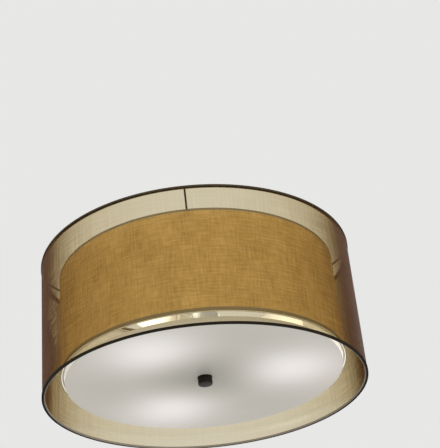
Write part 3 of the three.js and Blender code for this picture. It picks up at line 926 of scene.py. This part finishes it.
def out_along_lamp(turn):
    """From a piece made round the Z axis to its place along the line of the lamp at that turn."""
    return (
        Matrix.Rotation(turn, 4, "Z")
        @ Matrix.Translation((0, 0, LAMP_LEVEL))
        @ Matrix.Rotation(math.pi / 2, 4, "Y")
    )


def along_lamp(source):
    """Where a piece of the first lamp starts and ends along the lamp's line, and its radius."""
    back = Matrix.Rotation(-lamp_turns[0], 3, "Z")
    points = [back @ vert.co for vert in frame["nodes"][source].data.vertices]
    low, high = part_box(source)
    return min(p.x for p in points), max(p.x for p in points), (high.z - low.z) / 2


porcelain = clouded_finish(
    "glazed_porcelain", (60, (0.84, 0.81, 0.74), (0.90, 0.88, 0.82)), bump=(140, 0.00006), Roughness=0.3,
)
brass = clouded_finish(
    "drawn_brass", (160, (0.62, 0.42, 0.16), (0.76, 0.56, 0.25)), rough=(500, 0.25, 0.4), Metallic=1.0,
)
nipple_back, nipple_front, nipple_radius = along_lamp("socket_nipple_1")
back, front, housing_radius = along_lamp("socket_housing_1")
shell_back, shell_front, shell_radius = along_lamp("socket_shell_1")
thread = rolled_thread(nipple_radius, nipple_back, nipple_front, PIPE_PITCH)
nipple_outline = [(PIPE_BORE, nipple_back), *thread, (PIPE_BORE, nipple_front)]
housing_hole = nipple_radius + CLEARANCE
mouth_radius = shell_radius + CLEARANCE
housing_floor = shell_back - CLEARANCE
housing_outline = [
    (housing_hole, back), (housing_radius - HOUSING_CHAMFER, back),
    (housing_radius - HOUSING_WAIST, back + HOUSING_CHAMFER),
    *((housing_radius - inset, front - behind) for inset, behind in MOUTH_RING),
    (mouth_radius, front), (mouth_radius, housing_floor), (housing_hole, housing_floor),
]
lining = shell_radius - SHELL_WALL
shell_outline = [
    (0, shell_back), (shell_radius, shell_back), (shell_radius, shell_front), (lining, shell_front),
    (lining, shell_back + SHELL_WALL), (0, shell_back + SHELL_WALL),
]
for lamp, turn in enumerate(lamp_turns, 1):
    nipple = turned(nipple_outline, f"nipple_{lamp}", steps=32)
    moved(nipple, out_along_lamp(turn))
    settled(nipple, zinc, "fixture", f"socket_nipple_{lamp}")
    housing = turned(housing_outline, f"housing_{lamp}", steps=64, rounding=0.0004)
    moved(housing, out_along_lamp(turn))
    settled(housing, porcelain, "fixture", f"socket_housing_{lamp}")
    shell = turned(shell_outline, f"screw_shell_{lamp}", steps=48)
    moved(shell, out_along_lamp(turn))
    settled(shell, brass, "fixture", f"socket_shell_{lamp}")

# Bulbs
# Three frosted bulbs, lit, each with a screw cap of bright metal, a black glass insulator and a
# contact tip. Cap and glass turn together in the socket.
CAP_TIP = ((0, 0), (0.0038, 0), (0.0045, 0.0012), (0.0048, 0.0025), (0.0112, 0.0062))
INSULATOR_START, INSULATOR_END = 0.0026, 0.0062
CAP_PITCH = 0.0036
CAP_ROOT, CAP_CREST = 0.0009, 0.0002
CAP_RIDGE = ((CAP_ROOT, 0), (CAP_CREST, 0.25), (CAP_CREST, 0.5), (CAP_ROOT, 0.8))
RIDGES_START, RIDGES_STOP = 0.0066, 0.003
CAP_BAND = 0.0022
NECK_INSET = 0.0005
NECK_STEPS = 14
NECK_SHARE = 0.3
# The glow is stronger below than above: painted shading that shows the globe's form.
GLOW_BELOW, GLOW_ABOVE = 1.9, 0.05

insulator = clouded_finish(
    "black_glass", (120, (0.010, 0.0095, 0.009), (0.022, 0.020, 0.018)), rough=(300, 0.2, 0.35), bump=(1200, 0.00001),
)
cap_metal = clouded_finish(
    "cap_metal", (200, (0.62, 0.61, 0.59), (0.74, 0.73, 0.70)), rough=(500, 0.22, 0.38), Metallic=1.0,
)
tip, base_end, base_radius = along_lamp("bulb_base_1")
neck, glass_end, glass_radius = along_lamp("bulb_glass_1")
centre = glass_end - glass_radius


def lit_frosted_glass(name):
    """White frosted glass that glows, less at the neck, with painted shading: it glows most below and least on top, so
    that its form shows from above.
    """
    material = clouded_finish(
        name, (40, (0.62, 0.60, 0.56), (0.68, 0.66, 0.62)), Roughness=0.55, Emission_Color=(1.0, 0.97, 0.92, 1),
    )
    place = place_on(material)
    from_axis = node(material, "VectorMath", {0: place, 1: (0, 0, LAMP_LEVEL)}, operation="DISTANCE")["Value"]
    share = node(material, "MapRange", {
        "Value": from_axis, "From Min": neck, "From Max": centre, "To Min": NECK_SHARE, "To Max": 1.0,
    }, interpolation_type="SMOOTHSTEP")[0]
    glow = node(material, "MapRange", {
        "Value": node(material, "SeparateXYZ", {0: place})["Z"], "To Min": GLOW_BELOW, "To Max": GLOW_ABOVE,
        "From Min": LAMP_LEVEL - glass_radius, "From Max": LAMP_LEVEL + glass_radius,
    })[0]
    drive(material, Emission_Strength=sums(material, "MULTIPLY", share, glow))
    return material


frosted = lit_frosted_glass("frosted_bulb")
cap_outline = [(radius, tip + along) for radius, along in CAP_TIP]
ridge = tip + RIDGES_START
while ridge + CAP_PITCH < base_end - RIDGES_STOP:
    cap_outline += [(base_radius - inset, ridge + CAP_PITCH * share) for inset, share in CAP_RIDGE]
    ridge += CAP_PITCH
cap_outline += [
    (base_radius - CAP_ROOT, ridge), (base_radius, base_end - CAP_BAND), (base_radius, base_end), (0, base_end),
]
neck_radius = base_radius - NECK_INSET
globe_outline = [(0, neck), (neck_radius, neck)]
for step in range(1, NECK_STEPS + 1):
    swell = (1 - math.cos(math.pi * step / NECK_STEPS)) / 2
    globe_outline.append((
        neck_radius + (glass_radius - neck_radius) * swell, neck + (centre - neck) * step / NECK_STEPS,
    ))
for step in range(1, NECK_STEPS):
    angle = step / NECK_STEPS * math.pi / 2
    globe_outline.append((glass_radius * math.cos(angle), centre + glass_radius * math.sin(angle)))
globe_outline.append((0, centre + glass_radius))
for lamp, turn in enumerate(lamp_turns, 1):
    cap = turned(cap_outline, f"screw_cap_{lamp}", steps=48)
    cap.data.materials.append(cap_metal)
    for face in cap.data.polygons:
        if INSULATOR_START < face.center.z - tip < INSULATOR_END:
            face.material_index = 1
    moved(cap, out_along_lamp(turn))
    settled(cap, insulator, f"bulb_{lamp}", f"bulb_base_{lamp}")
    globe = turned(globe_outline, f"bulb_globe_{lamp}", steps=64)
    moved(globe, out_along_lamp(turn))
    settled(globe, frosted, f"bulb_{lamp}", f"bulb_glass_{lamp}")

# Wiring
# Live and neutral wires from the sockets meet in crimps inside the cup and go up the pipe, each as
# one lead, to an orange twist-on connector in the canopy.
LEAD_EDGE = 0.0001


def insulation(name, dark, light):
    """Soft insulation or moulding on a wire."""
    return clouded_finish(name, (90, dark, light), rough=(300, 0.4, 0.6))


black_lead = insulation("black_insulation", (0.010, 0.010, 0.010), (0.022, 0.022, 0.022))
white_lead = insulation("white_insulation", (0.66, 0.65, 0.61), (0.76, 0.75, 0.71))
orange = insulation("orange_moulding", (0.62, 0.16, 0.03), (0.75, 0.24, 0.05))
live_leads = eased("live_harness", "live_leads", LEAD_EDGE, segments=1)
settled(live_leads, black_lead, "fixture", "live_harness")
neutral_leads = eased("neutral_harness", "neutral_leads", LEAD_EDGE, segments=1)
settled(neutral_leads, white_lead, "fixture", "neutral_harness")
for kind in ("live", "neutral"):
    connector = eased(f"{kind}_wire_nut", f"{kind}_connector", SMALL_EDGE)
    settled(connector, orange, "fixture", f"{kind}_wire_nut")

# Diffuser and its rod
# Frosted acrylic disc, 3 mm clear of the linen shade. A threaded rod from the cluster's plate
# passes through it, with a nut and washer above. The bulbs' light through it is painted in as
# a glow, with three soft spots.
ROD_PITCH = 0.0008
ROD_NUT_EDGE = 0.0004
DISC_HOLE = 0.0052
DISC_SAG = 0.0035
DISC_RINGS = 12
# Painted glow of the bulbs through the disc: where its spots sit, how wide they are, and how strong it is at the
# centre, body, rim and spots.
SPOT_PLACE = 0.135
SPOT_SPREAD = 0.053
GLOW_CENTRE, GLOW_BODY, GLOW_RIM, GLOW_SPOT = 0.105, 0.262, 0.05, 0.34
BODY_REACH, RIM_REACH = 0.14, 0.22

low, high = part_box("diffuser_rod")
thread = rolled_thread(high.x, low.z, high.z, ROD_PITCH)
rod = turned([(0, low.z), *thread, (0, high.z)], "threaded_rod", steps=32)
settled(rod, zinc, "fixture", "diffuser_rod")
settled(eased("rod_nut", "cover_nut", ROD_NUT_EDGE), zinc, "fixture", "rod_nut")
settled(eased("seat_nut", "stop_nut", ROD_NUT_EDGE), zinc, "fixture", "seat_nut")
washer = bored("seat_washer", rod_bore, "stop_washer", steps=64, rounding=0.0003)
settled(washer, zinc, "fixture", "seat_washer")
disc_low, disc_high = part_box("diffuser")
disc_radius = disc_high.y
clamp_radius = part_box("finial_washer")[1].y


def frosted_acrylic(name):
    """White frosted acrylic with a painted glow of the bulbs' light through it: brighter outwards, and three soft
    spots.
    """
    material = clouded_finish(
        name, (14, (0.29, 0.278, 0.250), (0.31, 0.297, 0.268)), bump=(1800, 0.00004), Roughness=0.42,
        Specular_IOR_Level=0.35, Emission_Strength=1.0,
    )
    place = place_on(material)
    spots = 0.0
    for turn in lamp_turns:
        spot = (SPOT_PLACE * math.cos(turn), SPOT_PLACE * math.sin(turn), disc_low.z)
        away = node(material, "VectorMath", {0: place, 1: spot}, operation="DISTANCE")["Value"]
        fall = sums(material, "MULTIPLY", sums(material, "MULTIPLY", away, away), -0.5 / SPOT_SPREAD**2)
        spots = sums(material, "ADD", sums(material, "EXPONENT", fall), spots)
    out = node(material, "VectorMath", {0: place, 1: (0, 0, disc_low.z)}, operation="DISTANCE")["Value"]
    body = node(material, "MapRange", {
        "Value": out, "From Min": 0.0, "From Max": BODY_REACH, "To Min": GLOW_CENTRE, "To Max": GLOW_BODY,
    }, interpolation_type="SMOOTHSTEP")[0]
    rim = node(material, "MapRange", {
        "Value": out, "From Min": BODY_REACH, "From Max": RIM_REACH, "To Min": 0.0, "To Max": GLOW_RIM,
    })[0]
    level = sums(material, "MULTIPLY_ADD", spots, GLOW_SPOT, sums(material, "ADD", body, rim))
    drive(material, Emission_Color=shades(
        material, level, (0.0, (0.0, 0.0, 0.0)), (0.25, (0.262, 0.25, 0.217)), (0.6, (0.630, 0.60, 0.585)),
        (1.0, (1.0, 0.97, 0.95)),
    ))
    return material


def sag(radius):
    """How far the disc hangs below level at a radius, clamped as it is only at its middle."""
    return DISC_SAG * (max(radius - clamp_radius, 0) / (disc_radius - clamp_radius)) ** 2


acrylic = frosted_acrylic("frosted_acrylic")
steps_out = [DISC_HOLE]
steps_out += [clamp_radius + (disc_radius - clamp_radius) * i / DISC_RINGS for i in range(DISC_RINGS + 1)]
disc = turned(
    [(r, disc_low.z - sag(r)) for r in steps_out] + [(r, disc_high.z - sag(r)) for r in reversed(steps_out)],
    "acrylic_disc", SHADE_STEPS, rounding=0.0008,
)
settled(disc, acrylic, "diffuser_plate", "diffuser")

# Finial
# A short turned knob with a blind hole, painted dark bronze as the canopy is. It screws on to the
# rod's end and carries the diffuser on a thin washer.
KNOB_DEPTH = 0.009

finial_washer = bored("finial_washer", rod_bore, "finial_plate", steps=72, rounding=0.0003)
settled(finial_washer, bronze, "diffuser_plate", "finial_washer")
low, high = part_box("finial")
knob = turned(
    [
        (0, low.z), (high.x, low.z), (high.x, high.z), (rod_bore, high.z), (rod_bore, high.z - KNOB_DEPTH),
        (0, high.z - KNOB_DEPTH),
    ],
    "finial_knob_turned", steps=72, rounding=0.0008,
)
settled(knob, bronze, "finial_knob", "finial")
